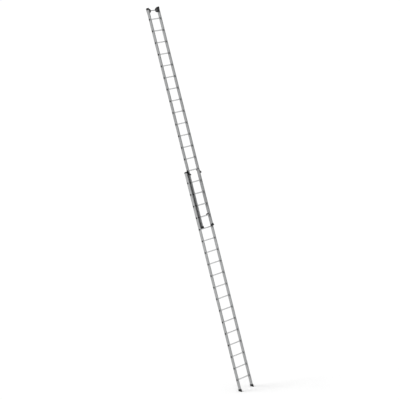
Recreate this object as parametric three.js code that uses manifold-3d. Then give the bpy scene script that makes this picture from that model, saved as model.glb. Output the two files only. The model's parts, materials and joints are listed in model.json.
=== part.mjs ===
// Two-section push-up extension ladder, raised and leaning as it stands in use.
// Millimetres, +Z up. Rungs lie along X, the climber stands on the -Y side, the wall is on the +Y side.
// Both sections are drawn upright in "ladder" coordinates (Z along the stiles) and then leaned as a whole.
import * as THREE from 'three';
import { mergeVertices } from 'three/addons/utils/BufferGeometryUtils.js';
import Module from 'manifold-3d';

// ---- Driving dimensions -----------------------------------------------------------------------

// Whole ladder
const LEAN = THREE.MathUtils.degToRad(18); // stiles off the vertical
const RUNG_COUNT = 18; // in each section
const RUNG_PITCH = 280;
const LIFT_STEPS = 14; // rung pitches by which the fly section stands raised

// Stiles: hollow box extrusions, the same in both sections
const STILE_DEPTH = 73; // front to back
const STILE_WIDTH = 25;
const STILE_WALL = 2;
const FOOT_TO_RUNG = 250; // cut foot end of a stile to the middle of its bottom rung
const RUNG_TO_TOP = 250; // middle of the top rung to the cut top end
const FLY_WIDTH = 399; // over the fly section's outer webs
const SIDE_GAP = 16.5; // fly outer web to base inner web

// Rungs: square tubes with cut corners, expanded into both webs of each stile
const RUNG_SIZE = 28;
const RUNG_CORNER = 7;
const RUNG_WALL = 2;
const RUNG_PROUD = 1; // rung end beyond the outer web
const RUNG_SET_BACK = 7; // rung's middle behind the stile's middle line

// Clearances
const FIT_GAP = 0.3; // between pieces that are fixed to each other
const SLIDE_CLEARANCE = 3; // fly stile to base rungs
const TURN_CLEARANCE = 0.5; // round a pin or an axle, on the radius
const GUIDE_CLEARANCE = 3; // top guide to the fly stile
const SIDE_PLAY = 2; // beside a hook or a roller

// End fittings
const FITTING_WALL = 3.5; // moulded wall round a stile end
const TONGUE_LENGTH = 22; // part of a fitting that plugs into the stile
const BASE_SHOE_SLEEVE = 28; // up the stile from its cut end
const BASE_SHOE_DROP = 25; // sole below the cut end, on the stile's middle line
const BASE_HEEL = 11; // sole in front of the stile's front face
const BASE_HEEL_HEIGHT = 14;
const FLY_SHOE_DROP = 20;
const FLY_SHOE_FRONT = 42; // sleeve height at the front face
const FLY_SHOE_BACK = 10; // sleeve height at the back face
const FLY_HEEL = 20;
const FLY_HEEL_RISE = 6; // heel tip above the underside
const TOP_CAP_HEIGHT = 25;
const TOP_CAP_SKIRT = 9;
const TOP_CAP_WALL = 1.5;
const TOP_CAP_RADIUS = 14;

// Guide moulding on each base stile top, which wraps the fly stile
const GUIDE_SKIRT = 9; // down the base stile
const GUIDE_PLATE = 9; // thickness of the arm beside the fly stile
const GUIDE_CAP_BACK = 12; // cap height at the wall side
const GUIDE_PEAK = 28; // arm's peak above the stile top
const GUIDE_PEAK_WIDTH = 12;
const GUIDE_PEAK_AHEAD = 6; // peak in front of the fly stile's middle line
const GUIDE_ARM = 12; // width of the arm where it meets the lug
const LUG_DEPTH = 23; // lug in front of the fly stile
const LUG_TOP = 46; // lug top below the stile top
const LUG_HEIGHT = 38;
const LUG_REACH = 25; // lug over the fly's front face
const LUG_ROOT = 2; // by which arm and lug run into each other
const LUG_BEVEL = 4;

// Runner blocks on the fly stiles, between them and the base stiles
const RUNNER_DEPTH = 12;
const RUNNER_LENGTH = 60;
const RUNNER_RISE = 45; // above the fly's cut foot end
const RUNNER_INSET = 3; // behind the base stile's front face
const RUNNER_CLEARANCE = 1.5;

// Wall rollers and their axle
const ROLLER_RADIUS = 54;
const ROLLER_WIDTH = 42;
const ROLLER_SHOULDER = 6;
const ROLLER_DROP = 46; // axle below the fly stile's top end
const ROLLER_SET_BACK = 11; // axle behind the fly stile's middle line
const HUB_RADIUS = 31;
const HUB_RECESS = 3; // hub face inside the tyre's face
const JOURNAL_RADIUS = 8;
const AXLE_RADIUS = 10; // between the rollers
const AXLE_WALL = 2;

// Rung hooks and their pins
const HOOK_THICKNESS = 13;
const HOOK_SET_BACK = 18; // pin behind the fly stile's middle line
const HOOK_RISE = 26; // pin above the top of the rung
const HOOK_BOSS = 10; // radius
const HOOK_LIP_GAP = 2; // rung to lip
const HOOK_LIP = 13; // thickness
const HOOK_LIP_DROP = 7; // lip end below the rung's middle
const HOOK_CROWN = 24; // thickness over the rung
const PIN_RADIUS = 4.5;
const PIN_HEAD_RADIUS = 8;
const PIN_HEAD = 3;
const PIN_TAIL = 5; // length inside the stile

// ---- Sizes that follow ------------------------------------------------------------------------

const STILE_LENGTH = FOOT_TO_RUNG + (RUNG_COUNT - 1) * RUNG_PITCH + RUNG_TO_TOP;
const BASE_WIDTH = FLY_WIDTH + 2 * (SIDE_GAP + STILE_WIDTH);
const FLY_OFFSET = (STILE_DEPTH + RUNG_SIZE) / 2 - RUNG_SET_BACK + SLIDE_CLEARANCE; // fly before base
const FLY_LIFT = LIFT_STEPS * RUNG_PITCH;
const HALF_DEPTH = STILE_DEPTH / 2;
const HALF_WIDTH = STILE_WIDTH / 2;
const HALF_RUNG = RUNG_SIZE / 2;
const SIDES = { left: -1, right: 1 };
const ROUND_STEPS = 16;
const ROLLER_STEPS = 24;
const CUT_OVERLAP = 1; // by which a cutting solid passes the surface it cuts

// ---- Materials --------------------------------------------------------------------------------

const finish = (color, roughness, metalness) =>
  new THREE.MeshStandardMaterial({ color, roughness, metalness, flatShading: true });

const MATERIALS = {
  stile: () => finish(0xa3a5a6, 0.42, 0.9),
  rung: () => finish(0xb9bbbc, 0.38, 0.9),
  fitting: () => finish(0x1d1e20, 0.6, 0),
  tyre: () => finish(0x232426, 0.75, 0),
  hub: () => finish(0x6c6f72, 0.5, 0),
  axle: () => finish(0xc4c6c8, 0.3, 0.9),
  hook: () => finish(0x4c4f52, 0.5, 0.6),
  pin: () => finish(0x9fa1a3, 0.35, 0.9),
};

// ---- Shapes and solids ------------------------------------------------------------------------

const wasm = await Module();
wasm.setup();

/** The manifold solid of a closed three.js geometry. */
function solid(geometry) {
  geometry.deleteAttribute('normal');
  geometry.deleteAttribute('uv');
  const merged = mergeVertices(geometry);
  return new wasm.Manifold(new wasm.Mesh({
    numProp: 3,
    vertProperties: new Float32Array(merged.attributes.position.array),
    triVerts: new Uint32Array(merged.index.array),
  }));
}

/** The three.js geometry of a manifold solid. */
function geometryOf(body) {
  const { vertProperties, triVerts } = body.getMesh();
  const geometry = new THREE.BufferGeometry();
  geometry.setAttribute('position', new THREE.BufferAttribute(new Float32Array(vertProperties), 3));
  geometry.setIndex(new THREE.BufferAttribute(new Uint32Array(triVerts), 1));
  return geometry;
}

/** A shape from corner points given as [y, z] pairs. */
const polygon = (corners) => new THREE.Shape(corners.map(([y, z]) => new THREE.Vector2(y, z)));

/** A shape drawn in (y, z), extruded along X from one x to another. */
function prism(shape, xA, xB) {
  const options = { depth: Math.abs(xB - xA), bevelEnabled: false, curveSegments: 6 };
  const drawnToWorld = new THREE.Matrix4().makeBasis(
    new THREE.Vector3(0, 1, 0),
    new THREE.Vector3(0, 0, 1),
    new THREE.Vector3(1, 0, 0),
  );
  const drawn = new THREE.ExtrudeGeometry(shape, options);
  return drawn.applyMatrix4(drawnToWorld).translate(Math.min(xA, xB), 0, 0);
}

/** A box from its lowest to its highest corner, each [x, y, z]. */
function block(low, high) {
  const size = high.map((value, axis) => value - low[axis]);
  const middle = high.map((value, axis) => (value + low[axis]) / 2);
  return new THREE.BoxGeometry(...size).translate(...middle);
}

/** A round bar along X, from one x to another. */
function bar(radius, xA, xB) {
  return new THREE.CylinderGeometry(radius, radius, Math.abs(xB - xA), ROUND_STEPS)
    .rotateZ(Math.PI / 2)
    .translate((xA + xB) / 2, 0, 0);
}

/** A ring turned about X from a closed profile of [radius, x] pairs. */
function ring(profile, steps) {
  const points = [...profile, profile[0]].map(([radius, x]) => new THREE.Vector2(radius, x));
  return new THREE.LatheGeometry(points, steps).rotateZ(-Math.PI / 2);
}

/** The outline of a square with cut corners, middled on the rung's axis. */
function cutSquare(size, corner) {
  const h = size / 2;
  const k = h - corner;
  return [[h, -k], [h, k], [k, h], [-k, h], [-h, k], [-h, -k], [-k, -h], [k, -h]];
}

/** Space that a stile end takes up inside a fitting, from z up or down by reach. */
function stilePocket(zA, zB, yBack = HALF_DEPTH + FIT_GAP) {
  const halfX = HALF_WIDTH + FIT_GAP;
  return solid(block([-halfX, -HALF_DEPTH - FIT_GAP, Math.min(zA, zB)], [halfX, yBack, Math.max(zA, zB)]));
}

/** Tongue of a fitting that plugs into the bore of a stile, from zA to zB. */
function tongue(zA, zB) {
  const halfX = HALF_WIDTH - STILE_WALL - FIT_GAP;
  const halfY = HALF_DEPTH - STILE_WALL - FIT_GAP;
  return solid(block([-halfX, -halfY, Math.min(zA, zB)], [halfX, halfY, Math.max(zA, zB)]));
}

// ---- Pieces, each in the coordinates of its stile or rung -------------------------------------

const rungHeight = (index) => FOOT_TO_RUNG + index * RUNG_PITCH;

/** A stile with its rung holes through both webs; fly stiles also take the hook pin and the axle. */
function stileGeometry(side, isFly) {
  const shape = polygon([
    [-HALF_WIDTH, -HALF_DEPTH], [HALF_WIDTH, -HALF_DEPTH],
    [HALF_WIDTH, HALF_DEPTH], [-HALF_WIDTH, HALF_DEPTH],
  ]);
  const x = HALF_WIDTH - STILE_WALL;
  const y = HALF_DEPTH - STILE_WALL;
  shape.holes.push(polygon([[-x, -y], [-x, y], [x, y], [x, -y]]));
  let body = solid(new THREE.ExtrudeGeometry(shape, { depth: STILE_LENGTH, bevelEnabled: false }));

  const across = HALF_WIDTH + CUT_OVERLAP;
  const holeShape = () => polygon(cutSquare(RUNG_SIZE + 2 * FIT_GAP, RUNG_CORNER));
  for (let index = 0; index < RUNG_COUNT; index += 1) {
    const hole = prism(holeShape(), -across, across).translate(0, RUNG_SET_BACK, rungHeight(index));
    body = body.subtract(solid(hole));
  }
  if (isFly) {
    const inner = -side * across;
    const pinHole = bar(PIN_RADIUS + FIT_GAP, 0, inner);
    const axleHole = bar(JOURNAL_RADIUS + FIT_GAP, 0, inner);
    body = body.subtract(solid(pinHole.translate(0, HOOK_SET_BACK, hookPinHeight())));
    body = body.subtract(solid(axleHole.translate(0, ROLLER_SET_BACK, STILE_LENGTH - ROLLER_DROP)));
  }
  return geometryOf(body);
}

/** A hollow rung for a section of the given overall width. */
function rungGeometry(sectionWidth) {
  const shape = polygon(cutSquare(RUNG_SIZE, RUNG_CORNER));
  const innerCorner = RUNG_CORNER - RUNG_WALL * (2 - Math.SQRT2);
  shape.holes.push(polygon(cutSquare(RUNG_SIZE - 2 * RUNG_WALL, innerCorner).reverse()));
  const half = sectionWidth / 2 + RUNG_PROUD;
  return prism(shape, -half, half);
}

/** Shoe of a base stile; its sole is level when the ladder leans. */
function baseShoeGeometry() {
  const soleAt = (y) => y * Math.tan(LEAN) - BASE_SHOE_DROP;
  const back = HALF_DEPTH + FITTING_WALL;
  const front = -HALF_DEPTH - FITTING_WALL;
  const heel = -HALF_DEPTH - BASE_HEEL;
  const outline = polygon([
    [back, soleAt(back)], [back, BASE_SHOE_SLEEVE], [front, BASE_SHOE_SLEEVE], [front, BASE_SHOE_SLEEVE / 2],
    [heel, soleAt(heel) + BASE_HEEL_HEIGHT], [heel, soleAt(heel)],
  ]);
  const half = HALF_WIDTH + FITTING_WALL;
  return geometryOf(solid(prism(outline, -half, half))
    .subtract(stilePocket(-FIT_GAP, BASE_SHOE_SLEEVE + CUT_OVERLAP))
    .add(tongue(-CUT_OVERLAP, TONGUE_LENGTH)));
}

/** Shoe of a fly stile: pointed heel in front, flush at the back so that it passes the base rungs. */
function flyShoeGeometry() {
  const front = -HALF_DEPTH - FITTING_WALL;
  const outline = polygon([
    [HALF_DEPTH, -FLY_SHOE_DROP], [HALF_DEPTH, FLY_SHOE_BACK], [front, FLY_SHOE_FRONT],
    [-HALF_DEPTH - FLY_HEEL, FLY_HEEL_RISE - FLY_SHOE_DROP], [-HALF_DEPTH, -FLY_SHOE_DROP],
  ]);
  const half = HALF_WIDTH + FITTING_WALL;
  return geometryOf(solid(prism(outline, -half, half))
    .subtract(stilePocket(-FIT_GAP, FLY_SHOE_FRONT + CUT_OVERLAP, HALF_DEPTH + CUT_OVERLAP))
    .add(tongue(-CUT_OVERLAP, TONGUE_LENGTH)));
}

/** Rounded end cap of a fly stile. */
function topCapGeometry() {
  const back = HALF_DEPTH + TOP_CAP_WALL;
  const arcY = back - TOP_CAP_RADIUS;
  const arcZ = TOP_CAP_HEIGHT - TOP_CAP_RADIUS;
  const outline = new THREE.Shape();
  outline.moveTo(back, -TOP_CAP_SKIRT);
  outline.lineTo(back, arcZ);
  outline.absarc(arcY, arcZ, TOP_CAP_RADIUS, 0, Math.PI / 2, false);
  outline.absarc(-arcY, arcZ, TOP_CAP_RADIUS, Math.PI / 2, Math.PI, false);
  outline.lineTo(-back, -TOP_CAP_SKIRT);
  const half = HALF_WIDTH + TOP_CAP_WALL;
  return geometryOf(solid(prism(outline, -half, half))
    .subtract(stilePocket(-TOP_CAP_SKIRT - CUT_OVERLAP, FIT_GAP))
    .add(tongue(-TONGUE_LENGTH, CUT_OVERLAP)));
}

/** Cap and guide moulding of a base stile top: it wraps the fly stile and ends in a lug in front of it. */
function topGuideGeometry(side) {
  const back = HALF_DEPTH + FITTING_WALL;
  const peakMiddle = -FLY_OFFSET - GUIDE_PEAK_AHEAD;
  const peakBack = peakMiddle + GUIDE_PEAK_WIDTH / 2;
  const peakFront = peakMiddle - GUIDE_PEAK_WIDTH / 2;
  const lugBack = -FLY_OFFSET - HALF_DEPTH - GUIDE_CLEARANCE;
  const lugFront = lugBack - LUG_DEPTH;
  const lugUnder = -LUG_TOP - LUG_HEIGHT;
  const topAt = (y) => GUIDE_CAP_BACK + (GUIDE_PEAK - GUIDE_CAP_BACK) * (back - y) / (back - peakBack);

  const cap = polygon([
    [back, -GUIDE_SKIRT], [back, topAt(back)], [-back, topAt(-back)], [-back, -GUIDE_SKIRT],
  ]);
  const arm = polygon([
    [0, -GUIDE_SKIRT], [0, topAt(0)], [peakBack, GUIDE_PEAK], [peakFront, GUIDE_PEAK],
    [lugBack - LUG_ROOT, -LUG_TOP], [lugBack - LUG_ROOT, lugUnder], [lugBack, lugUnder],
    [lugBack + GUIDE_ARM, -LUG_TOP], [peakBack, 0], [-back, -GUIDE_SKIRT],
  ]);
  const lug = polygon([
    [lugBack, lugUnder], [lugBack, -LUG_TOP], [lugFront + LUG_BEVEL, -LUG_TOP],
    [lugFront, -LUG_TOP - LUG_BEVEL], [lugFront, lugUnder + LUG_BEVEL], [lugFront + LUG_BEVEL, lugUnder],
  ]);

  // x measured from the base stile's middle, positive towards the outside
  const flyWeb = -HALF_WIDTH - SIDE_GAP;
  const armInner = flyWeb + GUIDE_CLEARANCE;
  const armOuter = armInner + GUIDE_PLATE;
  const along = (shape, inner, outer) => solid(prism(shape, side * inner, side * outer));
  return geometryOf(along(cap, armInner, HALF_WIDTH + FITTING_WALL)
    .add(along(arm, armInner, armOuter))
    .add(along(lug, flyWeb - LUG_REACH, armOuter))
    .subtract(stilePocket(lugUnder, FIT_GAP))
    .add(tongue(-TONGUE_LENGTH, CUT_OVERLAP)));
}

/** Runner block on a fly stile's outer web, which steadies it between the base stiles. */
function runnerGeometry(side) {
  const inner = HALF_WIDTH + FIT_GAP;
  const outer = HALF_WIDTH + SIDE_GAP - RUNNER_CLEARANCE;
  const front = FLY_OFFSET - HALF_DEPTH + RUNNER_INSET;
  const low = [Math.min(side * inner, side * outer), front, RUNNER_RISE];
  const high = [Math.max(side * inner, side * outer), front + RUNNER_DEPTH, RUNNER_RISE + RUNNER_LENGTH];
  return block(low, high);
}

/** Tyre of a wall roller, turned about the axle. */
function tyreGeometry() {
  const half = ROLLER_WIDTH / 2;
  const shoulder = half - ROLLER_SHOULDER;
  const crown = ROLLER_RADIUS - ROLLER_SHOULDER / 2;
  return ring([
    [HUB_RADIUS + FIT_GAP, -half], [crown, -half], [ROLLER_RADIUS, -shoulder],
    [ROLLER_RADIUS, shoulder], [crown, half], [HUB_RADIUS + FIT_GAP, half],
  ], ROLLER_STEPS);
}

/** Hub of a wall roller, bored for the axle's journal. */
function hubGeometry() {
  const half = ROLLER_WIDTH / 2 - HUB_RECESS;
  const bore = JOURNAL_RADIUS + TURN_CLEARANCE;
  return ring([[bore, -half], [HUB_RADIUS, -half], [HUB_RADIUS, half], [bore, half]], ROLLER_STEPS);
}

const flyInnerWeb = () => FLY_WIDTH / 2 - STILE_WIDTH;
const rollerMiddle = () => flyInnerWeb() - SIDE_PLAY - ROLLER_WIDTH / 2;

/** Tubular axle: journals under the rollers and a thicker middle that keeps them apart. */
function axleGeometry() {
  const end = flyInnerWeb() + STILE_WIDTH - STILE_WALL - FIT_GAP;
  const step = rollerMiddle() - ROLLER_WIDTH / 2 + HUB_RECESS - TURN_CLEARANCE;
  const bore = JOURNAL_RADIUS - AXLE_WALL;
  return ring([
    [bore, -end], [JOURNAL_RADIUS, -end], [JOURNAL_RADIUS, -step], [AXLE_RADIUS, -step],
    [AXLE_RADIUS, step], [JOURNAL_RADIUS, step], [JOURNAL_RADIUS, end], [bore, end],
  ], ROUND_STEPS);
}

const hookPinHeight = () => FOOT_TO_RUNG + HALF_RUNG + HOOK_RISE;
const hookOuterFace = () => flyInnerWeb() - SIDE_PLAY;
const hookInnerFace = () => hookOuterFace() - HOOK_THICKNESS;

/** Swinging hook, drawn round its pin: boss, arm and a lip behind the base rung. */
function hookGeometry(side) {
  const rungY = FLY_OFFSET + RUNG_SET_BACK - HOOK_SET_BACK; // base rung's middle, from the pin
  const rungZ = -HALF_RUNG - HOOK_RISE;
  const seatZ = rungZ + HALF_RUNG + FIT_GAP;
  const seatCorner = rungY + HALF_RUNG - RUNG_CORNER + HOOK_LIP_GAP;
  const lipInner = rungY + HALF_RUNG + HOOK_LIP_GAP;
  const lipOuter = lipInner + HOOK_LIP;
  const lipEnd = rungZ - HOOK_LIP_DROP;
  const crownZ = seatZ + HOOK_CROWN;
  const bossTop = THREE.MathUtils.degToRad(70);
  const bossUnder = THREE.MathUtils.degToRad(235);

  const shape = new THREE.Shape();
  shape.moveTo(lipOuter, lipEnd);
  shape.lineTo(lipOuter, seatZ - RUNG_CORNER / 2);
  shape.quadraticCurveTo(lipOuter, crownZ, rungY, crownZ);
  shape.lineTo(HOOK_BOSS * Math.cos(bossTop), HOOK_BOSS * Math.sin(bossTop));
  shape.absarc(0, 0, HOOK_BOSS, bossTop, bossUnder, false);
  shape.lineTo(rungY - HALF_RUNG, seatZ);
  shape.lineTo(seatCorner, seatZ);
  shape.lineTo(lipInner, seatZ - RUNG_CORNER);
  shape.lineTo(lipInner, lipEnd);

  const eye = new THREE.Path();
  eye.absarc(0, 0, PIN_RADIUS + TURN_CLEARANCE, 0, 2 * Math.PI, true);
  shape.holes.push(eye);
  return prism(shape, side * hookInnerFace(), side * hookOuterFace());
}

/** Headed pin of a hook, from inside the stile to past the hook. */
function pinGeometry(side) {
  const tail = flyInnerWeb() + STILE_WALL + PIN_TAIL;
  const headInner = hookInnerFace() - TURN_CLEARANCE;
  const shank = solid(bar(PIN_RADIUS, side * headInner, side * tail));
  const head = solid(bar(PIN_HEAD_RADIUS, side * headInner, side * (headInner - PIN_HEAD)));
  return geometryOf(shank.add(head));
}

// ---- Assembly ---------------------------------------------------------------------------------

/** Puts a named mesh into a group at a place. */
function place(group, name, geometry, material, position = [0, 0, 0]) {
  const mesh = new THREE.Mesh(geometry, material);
  mesh.name = name;
  mesh.position.set(...position);
  group.add(mesh);
}

/** Stiles and rungs of one section. */
function addSection(group, prefix, width, isFly) {
  for (const [sideName, side] of Object.entries(SIDES)) {
    const x = side * (width / 2 - HALF_WIDTH);
    place(group, `${prefix}_stile_${sideName}`, stileGeometry(side, isFly), MATERIALS.stile(), [x, 0, 0]);
  }
  for (let index = 0; index < RUNG_COUNT; index += 1) {
    const name = `${prefix}_rung_${String(index + 1).padStart(2, '0')}`;
    place(group, name, rungGeometry(width), MATERIALS.rung(), [0, RUNG_SET_BACK, rungHeight(index)]);
  }
}

/** Base section with its shoes and top guides. */
function baseSection() {
  const base = new THREE.Group();
  addSection(base, 'base', BASE_WIDTH, false);
  for (const [sideName, side] of Object.entries(SIDES)) {
    const x = side * (BASE_WIDTH / 2 - HALF_WIDTH);
    place(base, `base_shoe_${sideName}`, baseShoeGeometry(), MATERIALS.fitting(), [x, 0, 0]);
    const top = [x, 0, STILE_LENGTH];
    place(base, `base_top_guide_${sideName}`, topGuideGeometry(side), MATERIALS.fitting(), top);
  }
  return base;
}

/** Fly section with its shoes, caps, runners, rollers and hooks. */
function flySection() {
  const fly = new THREE.Group();
  addSection(fly, 'fly', FLY_WIDTH, true);
  const rollerPlace = (x) => [x, ROLLER_SET_BACK, STILE_LENGTH - ROLLER_DROP];
  const pinPlace = [0, HOOK_SET_BACK, hookPinHeight()];
  place(fly, 'roller_axle', axleGeometry(), MATERIALS.axle(), rollerPlace(0));
  for (const [sideName, side] of Object.entries(SIDES)) {
    const x = side * (FLY_WIDTH / 2 - HALF_WIDTH);
    place(fly, `fly_shoe_${sideName}`, flyShoeGeometry(), MATERIALS.fitting(), [x, 0, 0]);
    place(fly, `fly_top_cap_${sideName}`, topCapGeometry(), MATERIALS.fitting(), [x, 0, STILE_LENGTH]);
    place(fly, `fly_runner_${sideName}`, runnerGeometry(side), MATERIALS.fitting(), [x, 0, 0]);
    const rollerX = side * rollerMiddle();
    place(fly, `wall_roller_${sideName}`, tyreGeometry(), MATERIALS.tyre(), rollerPlace(rollerX));
    place(fly, `roller_hub_${sideName}`, hubGeometry(), MATERIALS.hub(), rollerPlace(rollerX));
    place(fly, `rung_hook_${sideName}`, hookGeometry(side), MATERIALS.hook(), pinPlace);
    place(fly, `hook_pin_${sideName}`, pinGeometry(side), MATERIALS.pin(), pinPlace);
  }
  fly.position.set(0, -FLY_OFFSET, FLY_LIFT);
  return fly;
}

/** The leaning ladder, with its soles on z = 0 and its box middled on the origin. */
function extensionLadder() {
  const ladder = new THREE.Group();
  ladder.add(baseSection(), flySection());
  ladder.rotation.x = -LEAN;
  const root = new THREE.Group();
  root.add(ladder);
  root.updateMatrixWorld(true);
  const box = new THREE.Box3().setFromObject(root, true);
  const middle = box.getCenter(new THREE.Vector3());
  ladder.position.set(-middle.x, -middle.y, -box.min.z);
  return root;
}

export default extensionLadder();
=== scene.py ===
"""Looks of a two-section push-up extension ladder, raised and leaning.

Every new piece is worked out upright, in the ladder's own axes: x along the rungs, y from the climber's side
to the wall side, z along the stiles. One turn by the lean then puts it in the room. Units are metres.
"""

import json
import logging
import math
from abc import ABC, abstractmethod
from dataclasses import dataclass, field
from enum import Enum
from typing import Iterable, Sequence

import bpy
import numpy as np
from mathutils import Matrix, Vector


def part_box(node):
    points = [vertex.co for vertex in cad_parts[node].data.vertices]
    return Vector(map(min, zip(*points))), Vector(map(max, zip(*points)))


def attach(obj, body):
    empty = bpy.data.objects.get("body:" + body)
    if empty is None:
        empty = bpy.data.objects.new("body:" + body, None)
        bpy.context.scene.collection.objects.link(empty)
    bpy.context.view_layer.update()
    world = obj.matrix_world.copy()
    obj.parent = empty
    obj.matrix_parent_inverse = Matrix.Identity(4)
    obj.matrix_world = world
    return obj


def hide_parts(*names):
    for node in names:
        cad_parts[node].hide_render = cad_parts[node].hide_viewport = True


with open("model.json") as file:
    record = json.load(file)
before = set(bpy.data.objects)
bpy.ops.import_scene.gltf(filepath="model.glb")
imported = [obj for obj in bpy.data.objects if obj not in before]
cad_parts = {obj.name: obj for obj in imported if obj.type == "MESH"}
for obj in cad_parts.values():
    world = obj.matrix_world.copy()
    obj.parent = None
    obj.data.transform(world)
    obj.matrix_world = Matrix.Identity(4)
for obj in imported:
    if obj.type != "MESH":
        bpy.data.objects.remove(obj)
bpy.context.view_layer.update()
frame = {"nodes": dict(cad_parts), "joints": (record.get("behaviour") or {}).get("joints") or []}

log = logging.getLogger("ladder")
Colour = tuple[float, float, float]
MM = 0.001
SHARP_ANGLE = math.radians(32)
FLAT_ANGLE = math.radians(2)
BEVEL_ANGLE = math.radians(40)
WELD_REACH = 0.01 * MM
WINDOW_POINTS = 5
EDGE_POINTS = 5


# ---- Places in the frame ----------------------------------------------------------------------


class Side(Enum):
    """The two sides of the ladder; the value is the sign of x."""

    LEFT = -1
    RIGHT = 1

    @property
    def word(self) -> str:
        """The side's name as the nodes spell it."""
        return self.name.lower()


class Section(Enum):
    """The two sections of the ladder; the value is the first part of their node names."""

    BASE = "base"
    FLY = "fly"


@dataclass(frozen=True)
class Box:
    """An upright box from its lowest to its highest corner."""

    low: np.ndarray
    high: np.ndarray

    @property
    def middle(self) -> np.ndarray:
        """The box's middle point."""
        return (self.low + self.high) / 2

    @property
    def half(self) -> np.ndarray:
        """Half the box's size."""
        return (self.high - self.low) / 2


class Lean:
    """The lean of the stiles, read from the direction in which the fly section slides."""

    def __init__(self) -> None:
        """Reads the sliding joint's axis."""
        axis = next(joint["axis"] for joint in frame["joints"] if joint["type"] == "slide")
        self.angle = math.atan2(axis[1], axis[2])
        sine, cosine = math.sin(self.angle), math.cos(self.angle)
        self.turn = np.array([[1, 0, 0], [0, cosine, sine], [0, -sine, cosine]])

    def to_room(self, points: np.ndarray) -> np.ndarray:
        """Turns upright points into the room: each point times the turn about x."""
        return points @ self.turn.T

    def box(self, node: str) -> Box:
        """The upright box of a CAD node.

        Args:
            node: the node's name.

        Returns:
            The box round the node's points once they are turned upright.
        """
        mesh = frame["nodes"][node].data
        points = np.empty(len(mesh.vertices) * 3)
        mesh.vertices.foreach_get("co", points)
        upright = points.reshape(-1, 3) @ self.turn
        return Box(upright.min(0), upright.max(0))


LEAN = Lean()


# ---- Surfaces ---------------------------------------------------------------------------------


@dataclass
class Surface:
    """Points and faces of a mesh, with a finish number for each face (quads first, then caps)."""

    points: np.ndarray
    quads: np.ndarray
    caps: list[np.ndarray] = field(default_factory=list)
    finish: np.ndarray | int = 0

    def numbers(self) -> np.ndarray:
        """The finish number of every face."""
        return np.broadcast_to(self.finish, len(self.quads) + len(self.caps)).astype(np.int32)

    def triangles(self) -> np.ndarray:
        """All faces as triangles: a quad is two, and a cap is a fan from its first point."""
        fans = [np.stack([np.full(len(c) - 2, c[0]), c[1:-1], c[2:]], 1) for c in self.caps]
        return np.concatenate([self.quads[:, [0, 1, 2]], self.quads[:, [0, 2, 3]], *fans])

    def outward(self) -> "Surface":
        """The same closed surface facing out, told by its volume: corner triple products over six."""
        a, b, c = (self.points[self.triangles()[:, k]] for k in range(3))
        if np.einsum("ij,ij->", a - self.points[0], np.cross(b - self.points[0], c - self.points[0])) > 0:
            return self
        return Surface(self.points, self.quads[:, ::-1], [c[::-1] for c in self.caps], self.finish)


def joined(surfaces: Iterable[Surface]) -> Surface:
    """One surface out of several, each keeping its own points.

    Args:
        surfaces: the surfaces to put together.

    Returns:
        A surface whose face numbers are shifted past the points of those before.
    """
    parts = list(surfaces)
    starts = np.cumsum([0] + [len(part.points) for part in parts[:-1]])
    split = [np.split(part.numbers(), [len(part.quads)]) for part in parts]
    return Surface(
        np.concatenate([part.points for part in parts]),
        np.concatenate([part.quads + start for part, start in zip(parts, starts)]),
        [cap + start for part, start in zip(parts, starts) for cap in part.caps],
        np.concatenate([quads for quads, _ in split] + [caps for _, caps in split]),
    )


def grid_quads(rows: int, columns: int, close_rows: bool = False) -> np.ndarray:
    """Quads between the points of a grid whose columns close on themselves.

    Args:
        rows: number of rows of points.
        columns: number of points in a row, which is a closed ring.
        close_rows: whether the last row joins the first.

    Returns:
        An array of four point numbers for each quad.
    """
    i, j = np.meshgrid(np.arange(rows if close_rows else rows - 1), np.arange(columns), indexing="ij")
    i_next, j_next = (i + 1) % rows, (j + 1) % columns
    corners = [i * columns + j, i * columns + j_next, i_next * columns + j_next, i_next * columns + j]
    return np.stack(corners, -1).reshape(-1, 4)


def softened(corners: Sequence[Sequence[float]], cut: float | Sequence[float], steps: int = 7) -> np.ndarray:
    """A closed outline with its corners rounded.

    Each corner becomes a quadratic curve from a point at the cut's length before it to one as far after it,
    with the corner as its control point: (1 - t) squared times the first, 2 t (1 - t) times the corner and
    t squared times the last.

    Args:
        corners: the outline's corners, anticlockwise.
        cut: how far from its corner each curve starts, one for all or one for each.
        steps: points on each curve.

    Returns:
        The outline's points, one row each.
    """
    corner = np.asarray(corners, float)
    before = np.roll(corner, 1, 0) - corner
    after = np.roll(corner, -1, 0) - corner
    length = np.broadcast_to(np.asarray(cut, float), len(corner))[:, None]
    start = corner + before / np.linalg.norm(before, axis=1, keepdims=True) * length
    end = corner + after / np.linalg.norm(after, axis=1, keepdims=True) * length
    t = np.linspace(0, 1, steps)[None, :, None]
    curve = (1 - t) ** 2 * start[:, None] + 2 * t * (1 - t) * corner[:, None] + t ** 2 * end[:, None]
    return curve.reshape(-1, 2)


def carried(rings: np.ndarray, places: np.ndarray) -> np.ndarray:
    """The points (x, y, z) of rings drawn in (y, z), each ring at its own place along x."""
    along = np.broadcast_to(places[:, None, None], rings.shape[:2] + (1,))
    return np.concatenate([along, rings], -1).reshape(-1, 3)


def outward_normals(outline: np.ndarray) -> np.ndarray:
    """Unit normals of an anticlockwise outline: the chord between a point's neighbours, turned clockwise."""
    chord = np.roll(outline, -1, 0) - np.roll(outline, 1, 0)
    normal = np.stack([chord[:, 1], -chord[:, 0]], 1)
    return normal / np.maximum(np.linalg.norm(normal, axis=1, keepdims=True), 1e-12)


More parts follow.
